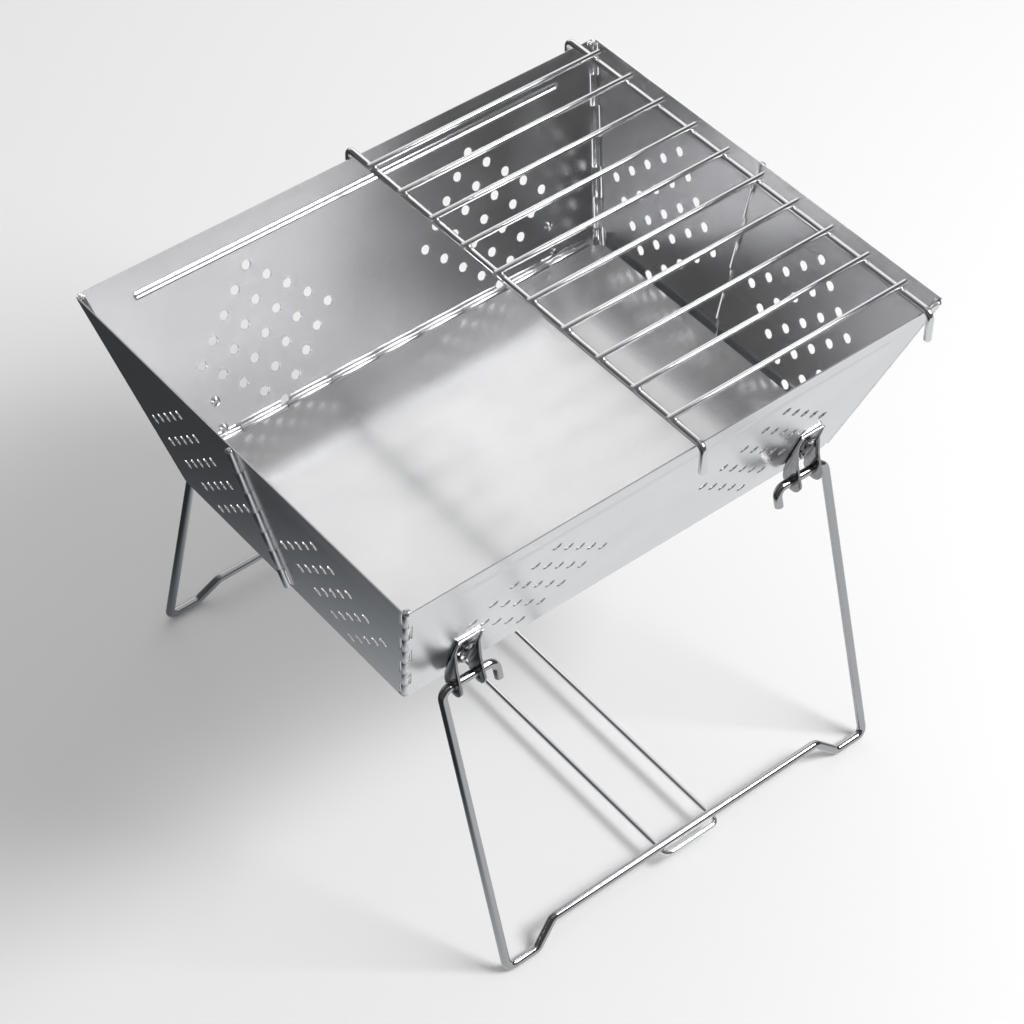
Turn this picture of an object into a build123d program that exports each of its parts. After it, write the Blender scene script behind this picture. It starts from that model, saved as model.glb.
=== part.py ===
from build123d import *
from math import cos, hypot, pi, radians, sin
import os

# Folding square grill of stainless sheet and wire.
# Millimetres. The origin is on the ground under the middle of the firebox, X along the front
# wall, Y from the front wall to the rear wall, Z up.

# Driving dimensions of the firebox, measured on the middle of the sheets
box_length = 400.0
box_width = 325.0
wall_depth = 137.5
end_inset = 31.9
side_inset = 49.6
rim_height = 345.0
sheet = 1.0

# Air holes, a square lattice set on its corner
hole_diameter = 6.5
hole_sides = 6
hole_step = 12.0
holes_per_side = 5
wall_array_x = box_length / 2 - 113.3
wall_array_drop = 80.7
end_array_offset = box_width / 2 - 95.7
end_array_drop = 79.0

# Pressed bead below the rim of the front and rear walls
bead_drop = 18.0
bead_length = box_length - 70.0
bead_width = 6.0
bead_height = 1.5

# Sides of the many-sided prisms that stand for round bars and bores
barrel_sides = 8
bore_sides = 6
wire_sides = 8
bend_parts = 2
screw_sides = 8

# Rolled hinges. The sheets run tangent to the barrels, so each axis stands off its sheets.
pin_diameter = 3.0
barrel_diameter = 5.0
pin_clearance = 0.05
knuckles_per_hinge = 7
knuckle_gap = 0.4
hinge_end_gap = 1.5
open_corner_gap = 1.0

# Floor plate and its long hinge
floor_drop = 123.0
floor_sheet = 1.0
floor_side_gap = 4.5
floor_front_gap = 0.3
floor_corner_cut = 8.0
floor_knuckles = 9
leaf_height = 11.0
leaf_sheet = 0.8
leaf_gap = 0.1

# Leg brackets, each held by two screws
bracket_x = box_length / 2 - 67.0
bracket_sheet = 1.5
bracket_width = 19.0
bracket_height = 36.0
bracket_top_drop = 98.0
ear_radius = 8.0
ear_shoulder = 12.0
screw_spacing = 19.5
screw_top_drop = 106.8
screw_diameter = 3.0
screw_hole_gap = 0.1
screw_end = 1.0
head_diameter = 6.0
head_height = 1.8
nut_diameter = 6.0
nut_height = 2.2
seat_gap = 0.05

# Leg wires
leg_wire = 6.0
pivot_drop = 138.0
pivot_stand_off = 11.0
pivot_clearance = 0.1
leg_half_span = bracket_x + 18.0
leg_foot_y = box_width / 2 + 24.5
leg_bend = 6.0
inner_end_x = bracket_x - 22.0
inner_end_drop = 13.0
foot_length = 24.0
jog_run = 16.0
raised_run = 15.0

# Spreader between the two ground runs, with eyes round the rear run
spreader_wire = 4.0
spreader_half_span = 21.5
spreader_eye_gap = 0.1
spreader_front_gap = 0.4
spreader_front_reach = 5.0
spreader_bend = 5.0

# Cooking grate, over the right half of the firebox
rod_wire = 5.0
bar_wire = 4.0
rod_left_x = 5.9
rod_right_x = box_length / 2 - 17.0
rod_rest_gap = 0.6
rod_hook_gap = 2.5
rod_hook_drop = 21.0
rod_bend = 5.0
hook_shank = 1.5
bar_count = 10
bar_step = (box_width - 10.0) / bar_count
bar_overhang = 4.5
weld_sink = 0.2

# Worked out from the sizes above
half_length = box_length / 2
half_width = box_width / 2
wall_slope = hypot(wall_depth, side_inset)
end_slope = hypot(wall_depth, end_inset)
wall_sin = side_inset / wall_slope
wall_cos = wall_depth / wall_slope
end_sin = end_inset / end_slope
end_cos = wall_depth / end_slope
barrel_radius = barrel_diameter / 2
bore_radius = pin_diameter / 2 + pin_clearance
axis_offset = barrel_radius - sheet / 2
slot_radius = barrel_radius + knuckle_gap
floor_z = rim_height - floor_drop
wall_edge_back = axis_offset / end_cos - axis_offset * wall_sin * end_inset / wall_depth
end_edge_back = axis_offset / wall_cos - axis_offset * end_sin * side_inset / wall_depth

# Planes of the walls, with their origin at the rim and local Y up the sheet
front_plane = Plane(origin=(0, -half_width, rim_height), x_dir=(1, 0, 0), z_dir=(0, -wall_cos, -wall_sin))
rear_plane = Plane(origin=(0, half_width, rim_height), x_dir=(-1, 0, 0), z_dir=(0, wall_cos, -wall_sin))


def end_plane(side, depth_way):
    """Plane of an end half: side is -1 left or 1 right, depth_way is -1 front or 1 rear."""
    up = Vector(side * end_sin, 0, end_cos)
    return Plane(
        origin=(side * half_length, 0, rim_height),
        x_dir=(0, depth_way, 0),
        z_dir=Vector(0, depth_way, 0).cross(up),
    )


def hinge_top(side, depth_way):
    """Top of a slanted hinge line: depth_way is 0 for the hinge in the middle of an end."""
    if depth_way == 0:
        return Vector(side * (half_length + axis_offset / end_cos), 0, rim_height)
    x = half_length - axis_offset / end_cos
    y = half_width - axis_offset / wall_cos
    return Vector(side * x, depth_way * y, rim_height)


def hinge_vector(side, depth_way):
    """From the top of a slanted hinge line to its bottom."""
    return Vector(-side * end_inset, -depth_way * side_inset, -wall_depth)


def hinge_plane(side, depth_way):
    """Plane at the start of a slanted hinge, looking down it."""
    way = hinge_vector(side, depth_way)
    start = hinge_top(side, depth_way) + way.normalized() * hinge_end_gap
    return Plane(origin=start, x_dir=(0, 1, 0) if depth_way == 0 else (side, 0, 0), z_dir=way)


def hinge_length(side, depth_way):
    return hinge_vector(side, depth_way).length - 2 * hinge_end_gap


def knuckle_spans(length, count, owner):
    """Start and end of every second knuckle along a hinge, owner 0 or 1."""
    step = length / count
    return [(i * step, (i + 1) * step) for i in range(count) if i % 2 == owner]


def rod_along(plane, start, end, radius, mode=Mode.ADD, sides=barrel_sides):
    """A bar inside this radius along the plane's normal, or a bore outside it."""
    with BuildSketch(plane.offset(start)) as section:
        RegularPolygon(radius, sides, major_radius=mode == Mode.ADD)
    extrude(section.sketch, amount=end - start, mode=mode)


def round_pin(plane, length):
    with BuildSketch(plane) as section:
        Circle(pin_diameter / 2)
    extrude(section.sketch, amount=length)


def cut_clear(plane, spans):
    """Clear a sheet away round the other leaf's knuckles."""
    for start, end in spans:
        rod_along(plane, start - knuckle_gap / 2, end + knuckle_gap / 2, slot_radius, Mode.SUBTRACT)


def roll_knuckles(plane, spans):
    """Add the rolled knuckles of this leaf, without their bore."""
    for start, end in spans:
        rod_along(plane, start + knuckle_gap / 2, end - knuckle_gap / 2, barrel_radius)


def bore_pin_hole(plane, length):
    rod_along(plane, -1, length + 1, bore_radius, Mode.SUBTRACT, bore_sides)


def hole_array(plane, x, drop):
    """Punch one lattice of air holes, centred at x and drop below the rim."""
    pitch = hole_step * 2**0.5
    with BuildSketch(plane.offset(-sheet)) as holes:
        with Locations(Location((x, -drop), 45)):
            with GridLocations(pitch, pitch, holes_per_side, holes_per_side):
                RegularPolygon(hole_diameter / 2, hole_sides, rotation=15)
    extrude(holes.sketch, amount=2 * sheet, mode=Mode.SUBTRACT)


screw_places = [(s * bracket_x, -screw_top_drop - i * screw_spacing) for s in (-1, 1) for i in (0, 1)]


def bead_outline(inset):
    """A long bar with cut corners, drawn below the rim."""
    x = bead_length / 2 - inset
    y = bead_width / 2 - inset
    cut = y * 0.6
    points = [(x - cut, y), (x, y - cut), (x, cut - y), (x - cut, -y)]
    with BuildLine() as outline:
        Polyline(
            *[(px, py - bead_drop) for px, py in points],
            *[(-px, py - bead_drop) for px, py in reversed(points)],
            close=True,
        )
    make_face(outline.edges())


def wall_blank(plane):
    """A wall sheet with its air holes, its bead and its screw holes."""
    top = half_length - wall_edge_back
    bottom = top - end_inset
    with BuildSketch(plane.offset(-sheet / 2)) as blank:
        with BuildLine():
            Polyline((-top, 0), (-bottom, -wall_slope), (bottom, -wall_slope), (top, 0), close=True)
        make_face()
    extrude(blank.sketch, amount=sheet)
    with BuildSketch(plane.offset(sheet / 2)) as bead:
        bead_outline(0)
    extrude(bead.sketch, amount=bead_height, taper=20)
    with BuildSketch(plane.offset(-sheet / 2)) as hollow:
        bead_outline(sheet)
    extrude(hollow.sketch, amount=bead_height, taper=20, mode=Mode.SUBTRACT)
    hole_array(plane, -wall_array_x, wall_array_drop)
    hole_array(plane, wall_array_x, wall_array_drop)
    with BuildSketch(plane.offset(-sheet)) as screw_holes:
        with Locations(*screw_places):
            RegularPolygon(screw_diameter / 2 + screw_hole_gap, screw_sides, major_radius=False)
    extrude(screw_holes.sketch, amount=2 * sheet, mode=Mode.SUBTRACT)


def wall_hinge(side, depth_way):
    """Each wall takes the even knuckles of its corner hinges, the end halves the odd ones."""
    plane = hinge_plane(side, depth_way)
    length = hinge_length(side, depth_way)
    cut_clear(plane, knuckle_spans(length, knuckles_per_hinge, 1))
    roll_knuckles(plane, knuckle_spans(length, knuckles_per_hinge, 0))
    bore_pin_hole(plane, length)


# Rear wall
with BuildPart() as rear_wall:
    wall_blank(rear_plane)
    wall_hinge(-1, 1)
    wall_hinge(1, 1)

# Front wall. Its right end stops short of the hinge barrel, which the end half carries whole.
with BuildPart() as front_wall:
    wall_blank(front_plane)
    wall_hinge(-1, -1)
    rod_along(hinge_plane(1, -1), -9, hinge_length(1, -1) + 9, barrel_radius + open_corner_gap, Mode.SUBTRACT)


def end_half(side, depth_way, whole_barrel):
    """Half of an end wall, from its middle hinge to its corner hinge."""
    plane = end_plane(side, depth_way)
    top = half_width - end_edge_back
    with BuildSketch(plane.offset(-sheet / 2)) as blank:
        with BuildLine():
            Polyline((0, 0), (0, -end_slope), (top - side_inset, -end_slope), (top, 0), close=True)
        make_face()
    extrude(blank.sketch, amount=sheet)
    hole_array(plane, end_array_offset, end_array_drop)
    own = 0 if depth_way > 0 else 1
    middle = hinge_plane(side, 0)
    length = hinge_length(side, 0)
    cut_clear(middle, knuckle_spans(length, knuckles_per_hinge, 1 - own))
    roll_knuckles(middle, knuckle_spans(length, knuckles_per_hinge, own))
    bore_pin_hole(middle, length)
    corner = hinge_plane(side, depth_way)
    length = hinge_length(side, depth_way)
    if whole_barrel:
        roll_knuckles(corner, knuckle_spans(length, knuckles_per_hinge, 0))
    else:
        cut_clear(corner, knuckle_spans(length, knuckles_per_hinge, 0))
    roll_knuckles(corner, knuckle_spans(length, knuckles_per_hinge, 1))
    bore_pin_hole(corner, length)


# The four end halves
with BuildPart() as left_rear_panel:
    end_half(-1, 1, False)

with BuildPart() as left_front_panel:
    end_half(-1, -1, False)

with BuildPart() as right_rear_panel:
    end_half(1, 1, False)

with BuildPart() as right_front_panel:
    end_half(1, -1, True)


def hinge_pin(side, depth_way):
    round_pin(hinge_plane(side, depth_way), hinge_length(side, depth_way))


# Hinge pins
with BuildPart() as left_rear_pin:
    hinge_pin(-1, 1)

with BuildPart() as left_middle_pin:
    hinge_pin(-1, 0)

with BuildPart() as left_front_pin:
    hinge_pin(-1, -1)

with BuildPart() as right_rear_pin:
    hinge_pin(1, 1)

with BuildPart() as right_middle_pin:
    hinge_pin(1, 0)

with BuildPart() as right_front_pin:
    hinge_pin(1, -1)

# Floor hinge line, against the inside face of the rear wall
inside_y = half_width - side_inset * floor_drop / wall_depth
floor_hinge_y = inside_y - (sheet / 2 + leaf_gap + barrel_radius) / wall_cos
floor_half_length = half_length - end_inset * floor_drop / wall_depth - sheet / 2 - floor_side_gap
floor_hinge_half = floor_half_length - floor_corner_cut
floor_front_y = -inside_y + (sheet / 2 + floor_front_gap) / wall_cos + floor_sheet
floor_hinge = Plane(origin=(-floor_hinge_half, floor_hinge_y, floor_z), x_dir=(0, 1, 0), z_dir=(1, 0, 0))
floor_spans = knuckle_spans(2 * floor_hinge_half, floor_knuckles, 0)
leaf_spans = knuckle_spans(2 * floor_hinge_half, floor_knuckles, 1)

# Floor plate with its rolled rear edge
with BuildPart() as floor_plate:
    with BuildSketch(Plane.XY.offset(floor_z - floor_sheet / 2)):
        with BuildLine():
            Polyline(
                (-floor_half_length + floor_corner_cut, floor_front_y),
                (floor_half_length - floor_corner_cut, floor_front_y),
                (floor_half_length, floor_front_y + floor_corner_cut),
                (floor_half_length, floor_hinge_y - floor_corner_cut),
                (floor_hinge_half, floor_hinge_y - bore_radius),
                (-floor_hinge_half, floor_hinge_y - bore_radius),
                (-floor_half_length, floor_hinge_y - floor_corner_cut),
                (-floor_half_length, floor_front_y + floor_corner_cut),
                close=True,
            )
        make_face()
    extrude(amount=floor_sheet)
    cut_clear(floor_hinge, leaf_spans)
    roll_knuckles(floor_hinge, floor_spans)
    bore_pin_hole(floor_hinge, 2 * floor_hinge_half)

# Wall leaf of the floor hinge, lying down the inside of the rear wall
with BuildPart() as floor_hinge_leaf:
    leaf_plane = Plane(origin=(0, floor_hinge_y, floor_z), x_dir=(-1, 0, 0), z_dir=(0, wall_cos, -wall_sin))
    with BuildSketch(leaf_plane.offset(barrel_radius - leaf_sheet)):
        with Locations((0, -leaf_height / 2)):
            Rectangle(2 * floor_hinge_half, leaf_height)
    extrude(amount=leaf_sheet)
    cut_clear(floor_hinge, floor_spans)
    roll_knuckles(floor_hinge, leaf_spans)
    bore_pin_hole(floor_hinge, 2 * floor_hinge_half)

with BuildPart() as floor_hinge_pin:
    round_pin(floor_hinge, 2 * floor_hinge_half)

# Leg pivots in the frame
pivot_y = half_width - pivot_drop * wall_sin + pivot_stand_off * wall_cos
pivot_z = rim_height - pivot_drop * wall_cos - pivot_stand_off * wall_sin


def bracket(plane, x):
    """Channel of bent sheet: a base on the wall and two rounded ears round the leg wire."""
    base_floor = sheet / 2 + seat_gap
    base_bottom = bracket_top_drop + bracket_height
    outer = bracket_width / 2
    with BuildSketch(plane.offset(base_floor)) as base:
        with Locations((x, -bracket_top_drop - bracket_height / 2)):
            Rectangle(bracket_width, bracket_height)
    extrude(base.sketch, amount=bracket_sheet)
    for edge in (x - outer + bracket_sheet, x + outer):
        ear_plane = Plane(
            origin=plane.from_local_coords((edge, 0, 0)),
            x_dir=plane.z_dir,
            z_dir=plane.x_dir * -1,
        )
        with BuildSketch(ear_plane) as ear:
            with BuildLine():
                Polyline(
                    (base_floor, -bracket_top_drop),
                    (base_floor, -base_bottom),
                    (pivot_stand_off, -pivot_drop - ear_radius),
                    (pivot_stand_off + ear_radius, -pivot_drop),
                    (base_floor + bracket_sheet + 1, -bracket_top_drop - ear_shoulder),
                    (base_floor + bracket_sheet, -bracket_top_drop),
                    close=True,
                )
            make_face()
            with Locations((pivot_stand_off, -pivot_drop)):
                RegularPolygon(ear_radius, 2 * wire_sides)
                hole = leg_wire / 2 + pivot_clearance
                RegularPolygon(hole, screw_sides, major_radius=False, mode=Mode.SUBTRACT)
        extrude(ear.sketch, amount=bracket_sheet)
    with BuildSketch(plane) as screw_holes:
        with Locations(*[place for place in screw_places if place[0] * x > 0]):
            RegularPolygon(screw_diameter / 2 + screw_hole_gap, screw_sides, major_radius=False)
    extrude(screw_holes.sketch, amount=2 * bracket_sheet + sheet, mode=Mode.SUBTRACT)


# Leg brackets. The rear plane's local X points to the left.
with BuildPart() as front_left_bracket:
    bracket(front_plane, -bracket_x)

with BuildPart() as front_right_bracket:
    bracket(front_plane, bracket_x)

with BuildPart() as rear_left_bracket:
    bracket(rear_plane, bracket_x)

with BuildPart() as rear_right_bracket:
    bracket(rear_plane, -bracket_x)


def bracket_screws(plane):
    """Low heads inside the firebox, shanks through wall and bracket."""
    head_seat = -sheet / 2 - seat_gap
    shank = sheet + bracket_sheet + 2 * seat_gap + nut_height + screw_end
    with BuildSketch(plane.offset(head_seat)) as shanks:
        with Locations(*screw_places):
            RegularPolygon(screw_diameter / 2, screw_sides)
    extrude(shanks.sketch, amount=shank)
    with BuildSketch(plane.offset(head_seat - head_height)) as heads:
        with Locations(*screw_places):
            RegularPolygon(head_diameter / 2, screw_sides)
    extrude(heads.sketch, amount=head_height)


def bracket_nuts(plane):
    with BuildSketch(plane.offset(sheet / 2 + bracket_sheet + 2 * seat_gap)) as nuts:
        with Locations(*screw_places):
            RegularPolygon(nut_diameter / 2, 6)
            RegularPolygon(screw_diameter / 2 + seat_gap, screw_sides, major_radius=False, mode=Mode.SUBTRACT)
    extrude(nuts.sketch, amount=nut_height)


with BuildPart() as front_screws:
    bracket_screws(front_plane)

with BuildPart() as rear_screws:
    bracket_screws(rear_plane)

with BuildPart() as front_nuts:
    bracket_nuts(front_plane)

with BuildPart() as rear_nuts:
    bracket_nuts(rear_plane)

# Direction of the leg wires
leg_drop = pivot_z - leg_wire / 2
leg_spread = leg_foot_y - pivot_y
leg_length = hypot(leg_drop, leg_spread)
leg_sin = leg_spread / leg_length
leg_cos = leg_drop / leg_length


def bent_points(corners, radius):
    """Each inner corner of a path becomes a few short runs round its bend."""
    corners = [Vector(c) for c in corners]
    points = [corners[0]]
    for before, corner, after in zip(corners, corners[1:], corners[2:]):
        to_before = (before - corner).normalized()
        to_after = (after - corner).normalized()
        turn = pi - radians(to_before.get_angle(to_after))
        reach = radius * sin(turn / 2) / cos(turn / 2)
        centre = corner + (to_before + to_after).normalized() * (radius / cos(turn / 2))
        start = corner + to_before * reach - centre
        end = corner + to_after * reach - centre
        for i in range(bend_parts + 1):
            share = i / bend_parts
            arm = start * sin((1 - share) * turn) + end * sin(share * turn)
            points.append(centre + arm * (1 / sin(turn)))
    points.append(corners[-1])
    return points


def bend_wire(corners, radius, diameter):
    """Draw a wire along a path with mitred short runs at its bends."""
    with BuildLine() as path:
        Polyline(*bent_points(corners, radius))
    wire = path.wire()
    across = (1, 0, 0) if abs((wire % 0).X) < 0.5 else (0, 1, 0)
    with BuildSketch(Plane(origin=wire @ 0, x_dir=across, z_dir=wire % 0)) as section:
        RegularPolygon(diameter / 2, wire_sides, rotation=180 / wire_sides)
    sweep(section.sketch, path=wire, transition=Transition.RIGHT)


def leg(depth_way):
    """U of wire: short inner ends, pivots, sides, feet and the raised ground run."""
    up = Vector(0, -depth_way * leg_sin, leg_cos)
    plane = Plane(origin=(0, depth_way * pivot_y, pivot_z), x_dir=(1, 0, 0), z_dir=Vector(1, 0, 0).cross(up))
    foot_inner = leg_half_span - foot_length
    half = [
        (inner_end_x, -inner_end_drop),
        (inner_end_x, 0),
        (leg_half_span, 0),
        (leg_half_span, -leg_length),
        (foot_inner, -leg_length),
        (foot_inner - jog_run, -leg_length + raised_run),
    ]
    points = [(-x, y) for x, y in half] + [(x, y) for x, y in reversed(half)]
    bend_wire([plane.from_local_coords((x, y, 0)) for x, y in points], leg_bend, leg_wire)


with BuildPart() as front_leg:
    leg(-1)

with BuildPart() as rear_leg:
    leg(1)

# Middle of the raised ground runs
run_y = pivot_y + (leg_length - raised_run) * leg_sin
run_z = pivot_z - (leg_length - raised_run) * leg_cos
eye_radius = leg_wire / 2 + spreader_eye_gap + spreader_wire / 2

# Spreader: a hairpin hung by two eyes on the rear run, its bow passing under the front run
with BuildPart() as spreader:
    rear_z = run_z - eye_radius
    bow_z = rear_z - spreader_front_gap
    bow_y = -run_y - spreader_front_reach
    spreader_corners = [
        (-spreader_half_span, run_y, rear_z),
        (-spreader_half_span, bow_y, bow_z),
        (spreader_half_span, bow_y, bow_z),
        (spreader_half_span, run_y, rear_z),
    ]
    bend_wire(spreader_corners, spreader_bend, spreader_wire)
    for way in (-1, 1):
        eye_start = way * spreader_half_span - spreader_wire / 2
        with BuildSketch(Plane(origin=(eye_start, run_y, run_z), x_dir=(0, 1, 0), z_dir=(1, 0, 0))) as eye:
            RegularPolygon(eye_radius + spreader_wire / 2, 2 * wire_sides)
            hole = leg_wire / 2 + spreader_eye_gap
            RegularPolygon(hole, 2 * wire_sides, major_radius=False, mode=Mode.SUBTRACT)
        extrude(eye.sketch, amount=spreader_wire)

# Grate: two frame rods hooked over the walls and the bars welded across them
rod_z = rim_height + rod_rest_gap + rod_wire / 2
rod_end_y = half_width + sheet / 2 + rod_hook_gap + rod_wire / 2


def grate_rod(x):
    """A rod whose hooks are solids of their own, each joined end to end to the straight run."""
    hook_z = rod_z - rod_hook_drop
    corners = [(x, -rod_end_y, hook_z), (x, -rod_end_y, rod_z), (x, rod_end_y, rod_z), (x, rod_end_y, hook_z)]
    bend_wire(corners, rod_bend, rod_wire)
    joint_y = rod_end_y - rod_bend - hook_shank
    for way in (-1, 1):
        split(bisect_by=Plane(origin=(x, way * joint_y, rod_z), z_dir=(0, 1, 0)), keep=Keep.BOTH)


with BuildPart() as grate_left_rod:
    grate_rod(rod_left_x)

with BuildPart() as grate_right_rod:
    grate_rod(rod_right_x)

bar_z = rod_z + rod_wire / 2 + bar_wire / 2 - weld_sink
bar_start = rod_left_x - bar_overhang
bar_length = rod_right_x - rod_left_x + 2 * bar_overhang
with BuildPart() as grate_bars:
    with BuildSketch(Plane(origin=(bar_start, 0, bar_z), x_dir=(0, 1, 0), z_dir=(1, 0, 0))):
        with GridLocations(bar_step, 1, bar_count, 1):
            RegularPolygon(bar_wire / 2, wire_sides, rotation=180 / wire_sides)
    extrude(amount=bar_length)

# Label and write each piece
os.makedirs("parts", exist_ok=True)
rear_wall.part.label = "rear_wall"
export_step(rear_wall.part, "parts/rear_wall.step")
front_wall.part.label = "front_wall"
export_step(front_wall.part, "parts/front_wall.step")
left_rear_panel.part.label = "left_rear_panel"
export_step(left_rear_panel.part, "parts/left_rear_panel.step")
left_front_panel.part.label = "left_front_panel"
export_step(left_front_panel.part, "parts/left_front_panel.step")
right_rear_panel.part.label = "right_rear_panel"
export_step(right_rear_panel.part, "parts/right_rear_panel.step")
right_front_panel.part.label = "right_front_panel"
export_step(right_front_panel.part, "parts/right_front_panel.step")
left_rear_pin.part.label = "left_rear_pin"
export_step(left_rear_pin.part, "parts/left_rear_pin.step")
left_middle_pin.part.label = "left_middle_pin"
export_step(left_middle_pin.part, "parts/left_middle_pin.step")
left_front_pin.part.label = "left_front_pin"
export_step(left_front_pin.part, "parts/left_front_pin.step")
right_rear_pin.part.label = "right_rear_pin"
export_step(right_rear_pin.part, "parts/right_rear_pin.step")
right_middle_pin.part.label = "right_middle_pin"
export_step(right_middle_pin.part, "parts/right_middle_pin.step")
right_front_pin.part.label = "right_front_pin"
export_step(right_front_pin.part, "parts/right_front_pin.step")
floor_plate.part.label = "floor_plate"
export_step(floor_plate.part, "parts/floor_plate.step")
floor_hinge_leaf.part.label = "floor_hinge_leaf"
export_step(floor_hinge_leaf.part, "parts/floor_hinge_leaf.step")
floor_hinge_pin.part.label = "floor_hinge_pin"
export_step(floor_hinge_pin.part, "parts/floor_hinge_pin.step")
front_left_bracket.part.label = "front_left_bracket"
export_step(front_left_bracket.part, "parts/front_left_bracket.step")
front_right_bracket.part.label = "front_right_bracket"
export_step(front_right_bracket.part, "parts/front_right_bracket.step")
rear_left_bracket.part.label = "rear_left_bracket"
export_step(rear_left_bracket.part, "parts/rear_left_bracket.step")
rear_right_bracket.part.label = "rear_right_bracket"
export_step(rear_right_bracket.part, "parts/rear_right_bracket.step")
front_screws.part.label = "front_screws"
export_step(front_screws.part, "parts/front_screws.step")
rear_screws.part.label = "rear_screws"
export_step(rear_screws.part, "parts/rear_screws.step")
front_nuts.part.label = "front_nuts"
export_step(front_nuts.part, "parts/front_nuts.step")
rear_nuts.part.label = "rear_nuts"
export_step(rear_nuts.part, "parts/rear_nuts.step")
front_leg.part.label = "front_leg"
export_step(front_leg.part, "parts/front_leg.step")
rear_leg.part.label = "rear_leg"
export_step(rear_leg.part, "parts/rear_leg.step")
spreader.part.label = "spreader"
export_step(spreader.part, "parts/spreader.step")
grate_left_rod.part.label = "grate_left_rod"
export_step(grate_left_rod.part, "parts/grate_left_rod.step")
grate_right_rod.part.label = "grate_right_rod"
export_step(grate_right_rod.part, "parts/grate_right_rod.step")
grate_bars.part.label = "grate_bars"
export_step(grate_bars.part, "parts/grate_bars.step")
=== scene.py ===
import math

import bmesh
import bpy
from mathutils import Matrix, Vector
from mathutils.geometry import tessellate_polygon


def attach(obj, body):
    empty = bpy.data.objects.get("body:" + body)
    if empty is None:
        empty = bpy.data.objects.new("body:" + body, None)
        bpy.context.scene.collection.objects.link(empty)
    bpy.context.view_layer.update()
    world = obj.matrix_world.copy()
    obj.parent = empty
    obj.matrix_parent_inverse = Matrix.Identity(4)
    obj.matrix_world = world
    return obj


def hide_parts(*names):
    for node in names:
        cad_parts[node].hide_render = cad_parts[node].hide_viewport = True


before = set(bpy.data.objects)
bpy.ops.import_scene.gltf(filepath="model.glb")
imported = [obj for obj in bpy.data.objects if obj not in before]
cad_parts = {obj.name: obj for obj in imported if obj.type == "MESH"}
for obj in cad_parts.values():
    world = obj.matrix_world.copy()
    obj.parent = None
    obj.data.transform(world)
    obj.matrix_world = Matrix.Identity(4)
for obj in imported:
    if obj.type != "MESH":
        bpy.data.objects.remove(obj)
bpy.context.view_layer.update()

# Sizes of the part in millimetres, as in its source. x runs to the right, y to the rear, z up.
MM = 0.001
ALONG_X = Vector((1, 0, 0))
ALONG_Z = Vector((0, 0, 1))

# Firebox
HALF_LENGTH = 200.0
HALF_WIDTH = 162.5
DEPTH = 137.5
END_INSET = 31.9
SIDE_INSET = 49.6
RIM = 345.0
SHEET = 1.0
WALL_SLOPE = math.hypot(DEPTH, SIDE_INSET)
END_SLOPE = math.hypot(DEPTH, END_INSET)
WALL_SIN = SIDE_INSET / WALL_SLOPE
WALL_COS = DEPTH / WALL_SLOPE
END_SIN = END_INSET / END_SLOPE
END_COS = DEPTH / END_SLOPE

# Air holes and bead
HOLE_RADIUS = 3.25
HOLE_STEP = 12.0
HOLES_PER_SIDE = 5
WALL_ARRAY = (86.7, -80.7)
END_ARRAY = (66.8, -79.0)
BEAD_DROP = 18.0
BEAD_HALF = 165.0
BEAD_RADIUS = 3.0
BEAD_HEIGHT = 0.75

# Hinges
BARREL = 2.5
BORE = 1.55
PIN = 1.5
KNUCKLES = 7
KNUCKLE_GAP = 0.4
HINGE_END_GAP = 1.5
AXIS_OFFSET = BARREL - SHEET / 2
NOTCH = 2.5
OPEN_NOTCH = 3.2

# Floor
FLOOR_DROP = 123.0
FLOOR_SHEET = 1.0
FLOOR_CUT = 8.0
FLOOR_SIDE_GAP = 4.5
FLOOR_FRONT_GAP = 0.3
FLOOR_KNUCKLES = 9
LEAF_SHEET = 0.8
LEAF_GAP = 0.1
LEAF_TOP = 3.0
LEAF_TAB = 4.0
LEAF_HEIGHT = 11.0
FLOOR_Z = RIM - FLOOR_DROP
INSIDE_Y = HALF_WIDTH - SIDE_INSET * FLOOR_DROP / DEPTH
FLOOR_HINGE_Y = INSIDE_Y - (SHEET / 2 + LEAF_GAP + BARREL) / WALL_COS
FLOOR_HALF = HALF_LENGTH - END_INSET * FLOOR_DROP / DEPTH - SHEET / 2 - FLOOR_SIDE_GAP
FLOOR_FRONT = -INSIDE_Y + (SHEET / 2 + FLOOR_FRONT_GAP) / WALL_COS + FLOOR_SHEET
FLOOR_HINGE_HALF = FLOOR_HALF - FLOOR_CUT

# Brackets, screws and nuts
SCREW_X = 133.0
SCREW_DROPS = (106.8, 126.3)
SCREW_RADIUS = 1.5
SCREW_END = 1.0
SCREW_HOLE = 1.6
SEAT_GAP = 0.05
NUT_RADIUS = 3.0
NUT_HEIGHT = 2.2
BRACKET_HALF = 9.5
BRACKET_SHEET = 1.5
BRACKET_TOP = 98.0
BRACKET_BASE = SHEET / 2 + SEAT_GAP
EAR = 8.0
EAR_BORE = 3.1
BEND_OUTER = 2.2
BEND_INNER = 0.7

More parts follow.
